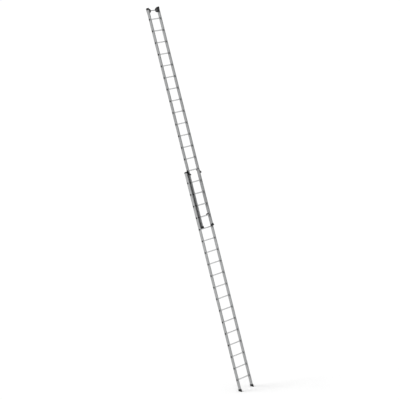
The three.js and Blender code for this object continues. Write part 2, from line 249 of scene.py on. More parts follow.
def moulding(outline: np.ndarray, x_low: float, x_high: float, edge: float, finish: int = 0) -> Surface:
    """A plate with rounded edges, from an outline in (y, z) carried along x.

    At each end a quarter circle of angle a pulls the outline in by edge (1 - sin a) while x moves by
    edge (1 - cos a).

    Args:
        outline: anticlockwise points as (y, z).
        x_low: one end of the plate.
        x_high: the other end.
        edge: radius of the rounded edges.
        finish: finish number of its faces.

    Returns:
        The closed plate.
    """
    low, high = min(x_low, x_high), max(x_low, x_high)
    angle = np.linspace(0, math.pi / 2, 4)
    inset = edge * (1 - np.sin(angle))
    shift = edge * (1 - np.cos(angle))
    pulls = np.concatenate([inset, inset[::-1]])
    places = np.concatenate([low + shift, high - shift[::-1]])
    ring = outline[None] - pulls[:, None, None] * outward_normals(outline)[None]
    rows, columns = ring.shape[:2]
    first = np.arange(columns)
    caps = [first[::-1], first + (rows - 1) * columns]
    return Surface(carried(ring, places), grid_quads(rows, columns), caps, finish).outward()


def turned(profile: np.ndarray, middle: Sequence[float], steps: int, closed: bool,
           finish: int = 0) -> Surface:
    """A piece turned about a line along x.

    Each profile point (radius r, place x) is carried round by the angle a: y is the middle's y plus r cos a,
    and z is the middle's z plus r sin a.

    Args:
        profile: points as (radius, x).
        middle: the line's (y, z).
        steps: points round a full turn.
        closed: whether the profile closes on itself; otherwise flat caps close both ends.
        finish: finish number of its faces.

    Returns:
        The closed turned piece.
    """
    angle = np.linspace(0, 2 * math.pi, steps, endpoint=False)[None]
    radius, place = profile[:, :1], profile[:, 1:]
    y = middle[0] + radius * np.cos(angle)
    z = middle[1] + radius * np.sin(angle)
    points = np.stack([np.broadcast_to(place, y.shape), y, z], -1).reshape(-1, 3)
    first = np.arange(steps)
    caps = [] if closed else [first[::-1], first + (len(profile) - 1) * steps]
    return Surface(points, grid_quads(len(profile), steps, closed), caps, finish).outward()


def dome(x: float, reach: float, middle: Sequence[float], radius: float, finish: int = 0) -> Surface:
    """A rivet or screw head: radius times cos a at a height of reach times sin a.

    Args:
        x: place of the face that it sits on.
        reach: its height, with the sign of the direction along x.
        middle: its (y, z).
        radius: its radius.
        finish: finish number of its faces.

    Returns:
        The closed head, sunk a little into its face.
    """
    angle = np.linspace(0, math.radians(78), 7)
    arc = np.stack([radius * np.cos(angle), x + reach * np.sin(angle)], 1)
    root = np.array([[radius, x - 0.4 * reach]])
    return turned(np.concatenate([root, arc]), middle, 28, False, finish)


def superellipse(half_y: float, half_z: float, power: float, count: int) -> np.ndarray:
    """A rounded square: the points where |y / half_y| and |z / half_z|, each to the power, add up to 1.

    Args:
        half_y: half its size along y.
        half_z: half its size along z.
        power: 2 is an ellipse and more is squarer.
        count: number of points.

    Returns:
        Anticlockwise points as (y, z).
    """
    angle = np.linspace(0, 2 * math.pi, count, endpoint=False)
    c, s = np.cos(angle), np.sin(angle)
    radius = (np.abs(c) ** power + np.abs(s) ** power) ** (-1 / power)
    return np.stack([half_y * radius * c, half_z * radius * s], 1)


# ---- Finishes ---------------------------------------------------------------------------------


class Graph:
    """One finish's node tree, built up from its Principled shader."""

    def __init__(self, name: str, metallic: float, specular: float = 0.5) -> None:
        """Makes the material and sets what is the same all over it."""
        self.material = bpy.data.materials.new(name)
        self.material.use_nodes = True
        self.nodes = self.material.node_tree.nodes
        self.links = self.material.node_tree.links
        self.shader = self.nodes["Principled BSDF"]
        self.shader.inputs["Metallic"].default_value = metallic
        self.shader.inputs["Specular IOR Level"].default_value = specular

    def add(self, kind: str, inputs: dict[str, object] | None = None, **settings: object) -> bpy.types.Node:
        """A new node with its settings, and its inputs linked or set.

        Args:
            kind: the node's type.
            inputs: a socket to link, or a value to set, for each input name.
            settings: the node's own properties.

        Returns:
            The node.
        """
        node = self.nodes.new(kind)
        for name, value in settings.items():
            setattr(node, name, value)
        for name, value in (inputs or {}).items():
            if isinstance(value, bpy.types.NodeSocket):
                self.links.new(value, node.inputs[name])
            else:
                node.inputs[name].default_value = value
        return node

    def upright(self, stretch: Sequence[float] = (1, 1, 1)) -> bpy.types.NodeSocket:
        """Object coordinates turned into the ladder's upright axes and then scaled."""
        place = self.add("ShaderNodeTexCoord").outputs["Object"]
        turned_place = self.add("ShaderNodeMapping", {"Vector": place, "Rotation": (LEAN.angle, 0, 0)})
        inputs = {"Vector": turned_place.outputs["Vector"], "Scale": tuple(stretch)}
        scaled = self.add("ShaderNodeMapping", inputs)
        return scaled.outputs["Vector"]

    def noise(self, place: bpy.types.NodeSocket, scale: float, detail: float = 3) -> bpy.types.NodeSocket:
        """Noise of that scale, from 0 to 1."""
        inputs = {"Vector": place, "Scale": scale, "Detail": detail}
        return self.add("ShaderNodeTexNoise", inputs).outputs["Fac"]

    def between(self, value: bpy.types.NodeSocket, a: float, b: float, low: float,
                high: float) -> bpy.types.NodeSocket:
        """The value's stretch from a to b, carried to low to high and held there."""
        inputs = {"Value": value, "From Min": a, "From Max": b, "To Min": low, "To Max": high}
        return self.add("ShaderNodeMapRange", inputs).outputs["Result"]

    def ramp(self, value: bpy.types.NodeSocket,
             stops: Sequence[tuple[float, Colour]]) -> bpy.types.NodeSocket:
        """Colours along a value, with a stop at each end of the list."""
        node = self.add("ShaderNodeValToRGB", {"Fac": value})
        elements = node.color_ramp.elements
        for element, (place, colour) in zip(list(elements), (stops[0], stops[-1])):
            element.position = place
            element.color = (*colour, 1)
        for place, colour in stops[1:-1]:
            elements.new(place).color = (*colour, 1)
        return node.outputs["Color"]

    def mix(self, amount: object, first: object, second: object) -> bpy.types.NodeSocket:
        """Two colours mixed by an amount, each of the three linked or set."""
        node = self.add("ShaderNodeMix", {"Factor": amount}, data_type="RGBA")
        for socket, colour in ((node.inputs[6], first), (node.inputs[7], second)):
            if isinstance(colour, bpy.types.NodeSocket):
                self.links.new(colour, socket)
            else:
                socket.default_value = (*colour, 1)
        return node.outputs[2]

    def product(self, first: bpy.types.NodeSocket, second: bpy.types.NodeSocket) -> bpy.types.NodeSocket:
        """Two values multiplied."""
        node = self.add("ShaderNodeMath", operation="MULTIPLY")
        self.links.new(first, node.inputs[0])
        self.links.new(second, node.inputs[1])
        return node.outputs[0]

    def bumped(self, heights: Sequence[tuple[bpy.types.NodeSocket, float, float]]) -> None:
        """Bumps from several heights, each with its strength and its depth in metres."""
        normal = None
        for height, strength, depth in heights:
            inputs: dict[str, object] = {"Height": height, "Strength": strength, "Distance": depth}
            if normal is not None:
                inputs["Normal"] = normal
            normal = self.add("ShaderNodeBump", inputs).outputs["Normal"]
        self.links.new(normal, self.shader.inputs["Normal"])

    def finish(self, colour: bpy.types.NodeSocket, roughness: bpy.types.NodeSocket) -> bpy.types.Material:
        """Links the colour and the roughness and gives the material."""
        self.links.new(colour, self.shader.inputs["Base Color"])
        self.links.new(roughness, self.shader.inputs["Roughness"])
        return self.material


def shaded(colour: Colour, share: float) -> Colour:
    """A colour made lighter or darker by a share."""
    return tuple(min(1.0, channel * share) for channel in colour)


class Finish(ABC):
    """A surface finish that can be made into a material."""

    @abstractmethod
    def build(self) -> bpy.types.Material:
        """Makes the material."""


@dataclass(frozen=True)
class Extrusion(Finish):
    """Mill-finished aluminium with die lines along one axis, cloudy oxide, scratches and grime."""

    name: str
    colour: Colour
    along: tuple[float, float, float]
    metallic: float = 0.72
    smooth: float = 0.36
    rough: float = 0.56
    grime: Colour = (0.16, 0.155, 0.15)
    grime_share: float = 0.35
    line_scale: float = 620
    cloud_scale: float = 5.5
    speck_scale: float = 170
    scratch_scale: float = 420
    sheen_scale: float = 38

    def build(self) -> bpy.types.Material:
        """Makes the material.

        Returns:
            A material whose lines run along the axis that has the smallest stretch.
        """
        graph = Graph(self.name, self.metallic)
        place = graph.upright()
        lines = graph.noise(graph.upright(self.along), self.line_scale, 4)
        clouds = graph.noise(place, self.cloud_scale, 5)
        specks = graph.noise(place, self.speck_scale, 6)
        scratches = graph.noise(graph.upright((1, 0.08, 0.7)), self.scratch_scale, 2)
        tone = graph.ramp(lines, [(0.25, shaded(self.colour, 0.86)), (0.75, shaded(self.colour, 1.1))])
        cloud = graph.ramp(clouds, [(0.3, shaded(self.colour, 0.84)), (0.7, shaded(self.colour, 1.08))])
        base = graph.mix(0.5, tone, cloud)
        dirt = graph.product(graph.between(clouds, 0.52, 0.72, 0, 1), graph.between(specks, 0.45, 0.7, 0, 1))
        amount = graph.between(dirt, 0, 1, 0, self.grime_share)
        colour = graph.mix(amount, base, self.grime)
        worn = graph.between(scratches, 0.62, 0.7, 0, 0.25)
        colour = graph.mix(worn, colour, shaded(self.colour, 1.2))
        sheen = graph.noise(place, self.sheen_scale, 5)
        roughness = graph.between(sheen, 0.3, 0.7, self.smooth, self.rough)
        graph.bumped([(lines, 0.22, 0.00012), (scratches, 0.1, 0.0001), (specks, 0.06, 0.0001)])
        return graph.finish(colour, roughness)


@dataclass(frozen=True)
class Moulded(Finish):
    """Moulded plastic or rubber: grained, a little uneven in tone, scuffed and dusty."""

    name: str
    colour: Colour
    dust: Colour
    dust_share: float = 0.25
    rough: float = 0.62
    grain: float = 900
    grain_depth: float = 0.00012
    specular: float = 0.22
    patch_scale: float = 22
    scuff_scale: float = 160

    def build(self) -> bpy.types.Material:
        """Makes the material."""
        graph = Graph(self.name, 0.0, self.specular)
        place = graph.upright()
        patches = graph.noise(place, self.patch_scale, 5)
        grain = graph.noise(place, self.grain, 2)
        scuffs = graph.noise(graph.upright((1, 0.15, 0.6)), self.scuff_scale, 3)
        base = graph.ramp(patches, [(0.3, shaded(self.colour, 0.8)), (0.7, shaded(self.colour, 1.25))])
        dusty = graph.product(graph.between(patches, 0.45, 0.75, 0, 1),
                              graph.between(scuffs, 0.45, 0.7, 0, 1))
        colour = graph.mix(graph.between(dusty, 0, 1, 0, self.dust_share), base, self.dust)
        roughness = graph.between(patches, 0.3, 0.7, self.rough - 0.1, min(1.0, self.rough + 0.12))
        graph.bumped([(grain, 0.35, self.grain_depth), (scuffs, 0.15, 0.0002)])
        return graph.finish(colour, roughness)


@dataclass(frozen=True)
class Coated(Finish):
    """Painted or plated steel: an even coat with bright chips where it is worn."""

    name: str
    colour: Colour
    bare: Colour
    metallic: float
    rough: float
    wear: float
    patch_scale: float = 60
    chip_scale: float = 260

    def build(self) -> bpy.types.Material:
        """Makes the material."""
        graph = Graph(self.name, self.metallic)
        place = graph.upright()
        patches = graph.noise(place, self.patch_scale, 5)
        chips = graph.noise(place, self.chip_scale, 4)
        base = graph.ramp(patches, [(0.3, shaded(self.colour, 0.85)), (0.7, shaded(self.colour, 1.15))])
        worn = graph.product(graph.between(patches, 0.5, 0.6, 0, 1),
                             graph.between(chips, 0.58, 0.62, 0, self.wear))
        colour = graph.mix(worn, base, self.bare)
        roughness = graph.between(patches, 0.3, 0.7, self.rough - 0.08, self.rough + 0.1)
        graph.bumped([(chips, 0.15, 0.00015), (patches, 0.1, 0.0002)])
        return graph.finish(colour, roughness)


@dataclass(frozen=True)
class Paper(Finish):
    """The studio's pale floor."""

    name: str
    colour: Colour

    def build(self) -> bpy.types.Material:
        """Makes the material."""
        graph = Graph(self.name, 0.0, 0.0)
        tone = graph.noise(graph.upright(), 1.5, 2)
        colour = graph.ramp(tone, [(0.3, shaded(self.colour, 0.99)), (0.7, self.colour)])
        return graph.finish(colour, graph.between(tone, 0, 1, 0.95, 1.0))


BASE_METAL = Extrusion("base_aluminium", (0.3, 0.304, 0.306), (1, 1, 0.012))
# Painted shade: the fly's aluminium is a darker copy of the base's, so that its stiles look shaded.
SHADED_FLY_METAL = Extrusion("fly_aluminium_shaded", (0.235, 0.238, 0.24), (1, 1, 0.012))
RUNG_METAL = Extrusion("rung_aluminium", (0.6, 0.605, 0.608), (0.02, 1, 1), smooth=0.3, rough=0.5)
AXLE_METAL = Extrusion("axle_aluminium", (0.3, 0.303, 0.306), (0.02, 1, 1), smooth=0.26, rough=0.4)
# Painted shade: the insides of the hollow stiles and rungs take this darker copy of the aluminium.
BORE_SHADE_METAL = Extrusion("bore_aluminium_painted_shade", (0.16, 0.162, 0.165), (0.3, 1, 0.3), 0.4, smooth=0.7, rough=0.8)
BLACK_PLASTIC = Moulded("black_plastic", (0.009, 0.0092, 0.0095), (0.07, 0.068, 0.066), 0.2)
# Painted shade in part: the rung-end plugs are darker and duller than the other black plastic, standing also
# for the shade inside open rung ends.
PLUG_PLASTIC_AND_SHADE = Moulded("plug_plastic_and_shade", (0.006, 0.0062, 0.0064), (0.04, 0.039, 0.038), 0.15, specular=0.12)
GREY_PLASTIC = Moulded("grey_plastic", (0.075, 0.0765, 0.078), (0.15, 0.148, 0.145))
# Near-black collar plastic; its darkness partly stands for the rung's shadow on the inner web, painted shade.
COLLAR_PLASTIC_AND_SHADE = Moulded("collar_plastic_and_shade", (0.009, 0.0092, 0.0095), (0.08, 0.078, 0.076))
SOLE_RUBBER = Moulded("sole_rubber", (0.011, 0.011, 0.0115), (0.14, 0.13, 0.12), 0.3, 0.8, 500, 0.0003)
TYRE_RUBBER = Moulded("tyre_rubber", (0.016, 0.016, 0.017), (0.11, 0.108, 0.105), 0.3, 0.74, 700, 0.0002)
HUB_PLASTIC = Moulded("hub_plastic", (0.16, 0.162, 0.166), (0.24, 0.235, 0.23), 0.2, 0.5)
HOOK_PAINT = Coated("hook_paint", (0.014, 0.0145, 0.015), (0.3, 0.3, 0.3), 0.2, 0.55, 0.5)
ZINC_PLATE = Coated("zinc_plate", (0.56, 0.56, 0.55), (0.7, 0.7, 0.7), 0.9, 0.36, 0.4)
FLOOR_PAPER = Paper("floor_paper", (0.97, 0.97, 0.97))


class Maker:
    """Turns surfaces into pieces of the ladder and dresses them."""

    def __init__(self) -> None:
        """Starts with no materials made."""
        self.made: dict[str, bpy.types.Material] = {}
        self.count = 0

    def material(self, finish: Finish) -> bpy.types.Material:
        """The material of a finish, made the first time that it is asked for."""
        name = finish.name
        if name not in self.made:
            self.made[name] = finish.build()
        return self.made[name]

    def dress(self, piece: bpy.types.Object, finishes: Sequence[Finish]) -> None:
        """Gives a piece its materials, in the order of its finish numbers."""
        piece.data.materials.clear()
        for finish in finishes:
            piece.data.materials.append(self.material(finish))

    def settle(self, piece: bpy.types.Object) -> None:
        """Makes the modifiers' result the piece's own mesh and smooths all but its sharp edges."""
        if piece.modifiers:
            ready = piece.evaluated_get(bpy.context.evaluated_depsgraph_get())
            piece.data = bpy.data.meshes.new_from_object(ready)
            piece.modifiers.clear()
        piece.data.shade_smooth()
        piece.data.set_sharp_from_angle(angle=SHARP_ANGLE)

    def attach(self, piece: bpy.types.Object, body: str, nodes: Sequence[str]) -> None:
        """Rides a piece on its body and hides the nodes that it stands for."""
        attach(piece, body)
        if nodes:
            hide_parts(*nodes)
        self.count += 1
        log.info("%s rides on %s, %d faces", piece.name, body, len(piece.data.polygons))

    def piece(self, name: str, surface: Surface, body: str, slot: str, finishes: Sequence[Finish],
              nodes: Sequence[str] = (), wall: float = 0.0) -> bpy.types.Object:
        """Makes one piece.

        Args:
            name: the piece's name.
            surface: its surface in upright axes.
            body: the body that it moves with.
            slot: the record's material slot; not used.
            finishes: its finishes, by finish number.
            nodes: CAD nodes that it stands for.
            wall: thickness given inwards to an open skin, or 0 for a closed surface; the inner side then
                takes the next finish.

        Returns:
            The piece's object, at the origin.
        """
        mesh = bpy.data.meshes.new(name)
        faces = surface.quads.tolist() + [cap.tolist() for cap in surface.caps]
        mesh.from_pydata(LEAN.to_room(surface.points).tolist(), [], faces)
        mesh.polygons.foreach_set("material_index", surface.numbers())
        piece = bpy.data.objects.new(name, mesh)
        bpy.context.scene.collection.objects.link(piece)
        self.dress(piece, finishes)
        if wall:
            solid = piece.modifiers.new("wall", "SOLIDIFY")
            solid.thickness = wall
            solid.offset = -1
            solid.use_even_offset = True
            solid.material_offset = 1
        self.settle(piece)
        self.attach(piece, body, nodes)
        return piece

    def rounded_node(self, node: str, body: str, finish: Finish, edge: float) -> bpy.types.Object:
        """A CAD node's shape with its flat faces whole again and its edges rounded.

        Args:
            node: the CAD node.
            body: the body that it moves with.
            finish: its finish.
            edge: width of the rounded edges.

        Returns:
            The new piece.
        """
        mesh = frame["nodes"][node].data.copy()
        mesh.name = f"{node}_plate"
        piece = bpy.data.objects.new(f"{node}_plate", mesh)
        bpy.context.scene.collection.objects.link(piece)
        weld = piece.modifiers.new("weld", "WELD")
        weld.merge_threshold = WELD_REACH
        flat = piece.modifiers.new("flat", "DECIMATE")
        flat.decimate_type = "DISSOLVE"
        flat.angle_limit = FLAT_ANGLE
        bevel = piece.modifiers.new("edge", "BEVEL")
        bevel.width = edge
        bevel.segments = 3
        bevel.limit_method = "ANGLE"
        bevel.angle_limit = BEVEL_ANGLE
        self.settle(piece)
        self.dress(piece, [finish])
        self.attach(piece, body, [node])
        return piece


# ---- Stiles and rungs -------------------------------------------------------------------------


@dataclass
class Stile:
    """A hollow box extrusion with dished webs, grooved flanges and a hole for each rung in both webs."""

    section: Section
    side: Side
    wall: float = 2 * MM
    corner: float = 3.5 * MM
    dish: float = 1 * MM
    dish_half: float = 24 * MM
    ramp: float = 3 * MM
    flange_half: float = 8 * MM
    groove_pitch: float = 4 * MM
    groove_depth: float = 0.45 * MM
    window_half: float = 16.5 * MM
    hole_half: float = 14.5 * MM
    hole_corner: float = 21.9 * MM

    def half_outline(self, half_x: float, half_y: float, hole_y: float) -> np.ndarray:
        """One web, one corner and one flange of the section; the rest is the same turned half round.

        The web lies at half_x less the dish, and a smooth step brings it up to half_x past dish_half. The
        corner is a quarter circle. The flange dips by groove_depth times half of one minus a cosine.

        Args:
            half_x: half the stile's width.
            half_y: half its depth.
            hole_y: y of the rung holes, from the stile's middle.

        Returns:
            Anticlockwise points as (x, y).
        """
        rise = np.linspace(0, 1, EDGE_POINTS)
        edge = self.dish_half + self.ramp * rise
        window = hole_y + np.linspace(-self.window_half, self.window_half, WINDOW_POINTS)
        web_y = np.concatenate([-edge[::-1], window, edge])
        lift = np.clip((np.abs(web_y) - self.dish_half) / self.ramp, 0, 1)
        web_x = half_x - self.dish * (1 - lift ** 2 * (3 - 2 * lift))
        angle = np.linspace(0, math.pi / 2, 6)
        corner_x = half_x - self.corner + self.corner * np.cos(angle)
        corner_y = half_y - self.corner + self.corner * np.sin(angle)
        flange_x = np.linspace(self.flange_half, -self.flange_half, 33)
        wave = 0.5 - 0.5 * np.cos(2 * math.pi * flange_x / self.groove_pitch)
        flange_y = half_y - self.groove_depth * wave
        x = np.concatenate([web_x, corner_x, flange_x])
        y = np.concatenate([web_y, corner_y, flange_y])
        return np.stack([x, y], 1)

    def skin(self, box: Box, hole_y: float, levels: np.ndarray) -> Surface:
        """The stile's outer skin with a rung hole in each web at each level.

        The section is carried up z. At each level the web's four by four cells are left out, and a ring of
        sixteen quads joins their rim to the hole, whose points are the rim's, drawn in until they lie on
        the cut square: the larger of |y| and |z| is hole_half, or their sum is hole_corner.

        Args:
            box: the stile's upright box.
            hole_y: y of the rungs' middles.
            levels: the heights of the rungs' middles.

        Returns:
            The open skin.
        """
        aside = hole_y - box.middle[1]
        half, other = (self.half_outline(box.half[0], box.half[1], y) for y in (aside, -aside))
        outline = np.concatenate([half, -other]) + box.middle[:2]
        steps = np.linspace(-self.window_half, self.window_half, WINDOW_POINTS)
        rows = np.concatenate([[box.low[2]], (levels[:, None] + steps).ravel(), [box.high[2]]])
        columns = len(outline)
        ring = np.broadcast_to(outline, (len(rows), columns, 2))
        points = np.concatenate([ring, np.broadcast_to(rows[:, None, None], (len(rows), columns, 1))], -1)
        points = points.reshape(-1, 3)

        quads = grid_quads(len(rows), columns)
        row, column = np.divmod(np.arange(len(quads)), columns)
        cells = WINDOW_POINTS - 1
        in_rows = (row >= 1) & (row < len(rows) - 2) & ((row - 1) % WINDOW_POINTS < cells)
        in_web = column % len(half) - EDGE_POINTS
        in_columns = (in_web >= 0) & (in_web < cells)
        quads = quads[~(in_rows & in_columns)]

        run = np.arange(cells)
        along = np.concatenate([run, np.full(cells, cells), cells - run, np.zeros(cells, int)])
        up = np.roll(along, cells)
        starts = 1 + WINDOW_POINTS * np.arange(len(levels))
        webs = EDGE_POINTS + len(half) * np.arange(2)
        rim = (starts[:, None, None] + up) * columns + webs[None, :, None] + along
        centre = np.stack(np.broadcast_arrays(hole_y, levels), 1)[:, None, None, :]
        offset = points[rim][..., 1:] - centre
        size = np.abs(offset)
        pull = np.minimum(self.hole_half / size.max(-1), self.hole_corner / size.sum(-1))[..., None]
        hole = points[rim].copy()
        hole[..., 1:] = centre + offset * pull
        hole_number = len(points) + np.arange(rim.size).reshape(rim.shape)
        collar = np.stack([rim, np.roll(rim, -1, -1), np.roll(hole_number, -1, -1), hole_number], -1)

        points = np.concatenate([points, hole.reshape(-1, 3)])
        quads = np.concatenate([quads, collar.reshape(-1, 4)])
        used, quads = np.unique(quads, return_inverse=True)
        return Surface(points[used], quads.reshape(-1, 4))

    def build(self, maker: Maker) -> None:
        """Makes the stile."""
        prefix = self.section.value
        node = f"{prefix}_stile_{self.side.word}"
        rungs = np.array([LEAN.box(rung).middle for rung in rung_nodes(self.section)])
        skin = self.skin(LEAN.box(node), rungs[0, 1], rungs[:, 2])
        # The fly's stiles take the darker, shaded copy of the aluminium.
        metal = BASE_METAL if self.section is Section.BASE else SHADED_FLY_METAL
        # The stile's inside takes the darker bore finish, which is painted shade.
        maker.piece(f"{node}_extrusion", skin, prefix, "stile", [metal, BORE_SHADE_METAL], [node], self.wall)


def rung_nodes(section: Section) -> list[str]:
    """The names of a section's rung nodes, from the bottom up."""
    return sorted(name for name in frame["nodes"] if name.startswith(f"{section.value}_rung_"))


@dataclass
class Rungs:
    """A section's rungs: ribbed tubes with a plug in each end and a collar against each inner web; the plugs
    and collars are near-black partly as painted shade at the rung ends.
    """

    section: Section
    wall: float = 2 * MM
    squareness: float = 3.0
    points_round: int = 120
    rib_half: float = 9 * MM
    rib_pitch: float = 3.6 * MM
    rib_depth: float = 0.7 * MM
    collar_depth: float = 20 * MM
    collar_height: float = 19 * MM
    collar_reach: float = 3.6 * MM
    collar_squareness: float = 2.6
    collar_fit: float = 1.01
    collar_points: int = 64
    plug_half: float = 19.5 * MM
    plug_flange: float = 2 * MM
    plug_root: float = 14 * MM

    def outline(self, half: float) -> np.ndarray:
        """The tube's section: a rounded square whose top and bottom carry fine ribs.

        Between the ribs the flat dips by rib_depth times half of one minus a cosine.

        Args:
            half: half the tube's size.

        Returns:
            Anticlockwise points as (y, z).
        """
        points = superellipse(half, half, self.squareness, self.points_round)
        y, z = points.T
        dip = self.rib_depth * (0.5 - 0.5 * np.cos(2 * math.pi * y / self.rib_pitch))
        on_tread = (np.abs(y) < self.rib_half) & (np.abs(z) > 0.7 * half)
        return np.stack([y, z - np.where(on_tread, np.sign(z) * dip, 0)], 1)

    def tube(self, box: Box) -> Surface:
        """The rung: its outline carried from plug to plug, outside and then back inside, as one closed grid.

        Args:
            box: the rung's upright box.

        Returns:
            The closed tube, with finish 1 on its bore, which is darker as painted shade.
        """
        half = box.half[2]
        end = box.half[0] - self.plug_flange
        x = np.array([-end, -end / 3, end / 3, end])
        shares = np.repeat([1, 1 - self.wall / half], len(x))
        places = np.concatenate([x, x[::-1]])
        ring = self.outline(half)[None] * shares[:, None, None] + box.middle[1:]
        rows = len(places)
        finish = (np.arange(rows * self.points_round) // self.points_round >= len(x)).astype(int)
        return Surface(carried(ring, places), grid_quads(rows, self.points_round, True), [], finish).outward()

    def plug(self, box: Box, side: Side) -> Surface:
        """The plug in one end of the rung: a rounded flange over the web's hole and a stem in the bore. Its
        extra-dark plastic is partly painted shade, standing for the dark inside of an open rung end.

        Args:
            box: the rung's upright box.
            side: which end.

        Returns:
            The closed plug.
        """
        end = side.value * box.half[0]
        root = end - side.value * self.plug_flange
        flange = superellipse(self.plug_half, self.plug_half, self.squareness, 56) + box.middle[1:]
        stem_half = box.half[2] - self.wall - 0.5 * MM
        stem = superellipse(stem_half, stem_half, self.squareness, 40) + box.middle[1:]
        dimple = superellipse(self.plug_half / 2, self.plug_half / 2, 2, 32) + box.middle[1:]
        return joined([
            moulding(flange, root, end - side.value * 0.3 * MM, 0.9 * MM),
            moulding(dimple, root, end, 0.3 * MM),
            moulding(stem, root - side.value * self.plug_root, root + side.value * 0.2 * MM, 0.8 * MM),
        ])

    def collar(self, box: Box, web: float, side: Side) -> Surface:
        """A collar round the rung against one inner web, near-black partly as painted shade: the rung's
        shadow on the web.

        Its rings blend from the rung's outline (0) to a wider rounded square (1) while x steps off the web.

        Args:
            box: the rung's upright box.
            web: distance of the inner web from the middle.
            side: which web.

        Returns:
            The closed collar.
        """
        blend = np.array([0, 1, 1, 0.86, 0.2, 0])[:, None, None]
        step = self.collar_reach * np.array([-1 / 3, -1 / 3, 5 / 9, 8 / 9, 1, 5 / 6])
        inner = superellipse(box.half[2], box.half[2], self.squareness, self.collar_points) * self.collar_fit
        outer = superellipse(self.collar_depth, self.collar_height, self.collar_squareness,
                             self.collar_points)
        ring = inner + blend * (outer - inner) + box.middle[1:]
        quads = grid_quads(len(step), self.collar_points, True)
        return Surface(carried(ring, side.value * (web - step)), quads).outward()

    def build(self, maker: Maker) -> None:
        """Makes the section's rungs, their collars and their plugs."""
        prefix = self.section.value
        web = LEAN.box(f"{prefix}_stile_right").low[0]
        for node in rung_nodes(self.section):
            box = LEAN.box(node)
            # The tube's bore takes the darker bore finish, which is painted shade.
            maker.piece(f"{node}_tube", self.tube(box), prefix, "rung", [RUNG_METAL, BORE_SHADE_METAL], [node])
            collars = joined(self.collar(box, web, side) for side in Side)
            # The collars are dark plastic that also stands for the rung's shadow on the inner web, painted
            # shade.
            maker.piece(f"{node}_collars", collars, prefix, "fitting", [COLLAR_PLASTIC_AND_SHADE])
            plugs = joined(self.plug(box, side) for side in Side)
            # The plugs' extra-dark plastic partly stands for the shade inside the open rung ends.
            maker.piece(f"{node}_plugs", plugs, prefix, "fitting", [PLUG_PLASTIC_AND_SHADE])


# ---- Mouldings on the stile ends --------------------------------------------------------------


@dataclass
class BaseShoe:
    """Shoe of a base stile: a sleeve with a rubber pad that is level on the floor, grooved across."""

    side: Side
    pad: float = 8 * MM
    groove: float = 4.5 * MM
    bars: int = 9
    bar_share: float = 0.68
    sleeve_wall: float = 3.5 * MM
    heel_height: float = 14 * MM
    edge: float = 2.4 * MM
    panel_step: float = 0.9 * MM
    panel_margin: float = 7 * MM
    rivet: float = 4 * MM
    rivet_rise: float = 1.5 * MM
    rivet_spread: float = 16 * MM

    def build(self, maker: Maker) -> None:
        """Makes the shoe: sleeve, raised side panels, pad, tread bars and two rivets."""
        node = f"base_shoe_{self.side.word}"
        box = LEAN.box(node)
        stile = LEAN.box(f"base_stile_{self.side.word}")
        slope = math.tan(LEAN.angle)
        heel, back, top = box.low[1], box.high[1], box.high[2]
        front = stile.low[1] - self.sleeve_wall
        x_low, x_high = box.low[0] + self.panel_step, box.high[0] - self.panel_step
        middle_z = (top + stile.low[2]) / 2

        def strip(y_from: float, y_to: float, low: float, high: float) -> list[list[float]]:
            """A band between two heights over the level sole."""
            return [[y_to, slope * y_to + low], [y_to, slope * y_to + high],
                    [y_from, slope * y_from + high], [y_from, slope * y_from + low]]

        sleeve = softened([
            [back, slope * back + self.pad], [back, top], [front, top], [front, middle_z],
            [heel, slope * heel + self.heel_height], [heel, slope * heel + self.pad],
        ], [2 * MM, 3 * MM, 3 * MM, 5 * MM, 4 * MM, 2 * MM])
        panel = softened([
            [back - self.panel_margin, slope * back + self.pad + 5 * MM],
            [back - self.panel_margin, top - self.panel_margin],
            [front + self.panel_margin, top - self.panel_margin],
            [front + self.panel_margin, slope * front + self.pad + 9 * MM],
        ], 4 * MM)
        sole = softened(strip(heel, back, self.groove, self.pad + 1 * MM), 1.2 * MM)
        pitch = (back - heel) / self.bars
        starts = heel + pitch * (np.arange(self.bars) + (1 - self.bar_share) / 2)
        bars = [softened(strip(y, y + self.bar_share * pitch, 0, self.pad / 2 + 1 * MM), 0.8 * MM)
                for y in starts]
        rise = self.side.value * self.rivet_rise
        head = box.middle[0] + self.side.value * box.half[0] - rise
        maker.piece(f"{node}_moulding", joined([
            moulding(sleeve, x_low, x_high, self.edge),
            moulding(panel, box.low[0], box.high[0], 0.8 * MM, 3),
            moulding(sole, box.low[0] + 0.3 * MM, box.high[0] - 0.3 * MM, 1 * MM, 1),
            *(moulding(bar, box.low[0] + 0.6 * MM, box.high[0] - 0.6 * MM, 0.8 * MM, 1) for bar in bars),
            *(dome(head, rise, (stile.middle[1] + spread, middle_z), self.rivet, 2)
              for spread in (self.rivet_spread, -self.rivet_spread)),
        ]), "base", "fitting", [BLACK_PLASTIC, SOLE_RUBBER, ZINC_PLATE, GREY_PLASTIC], [node])


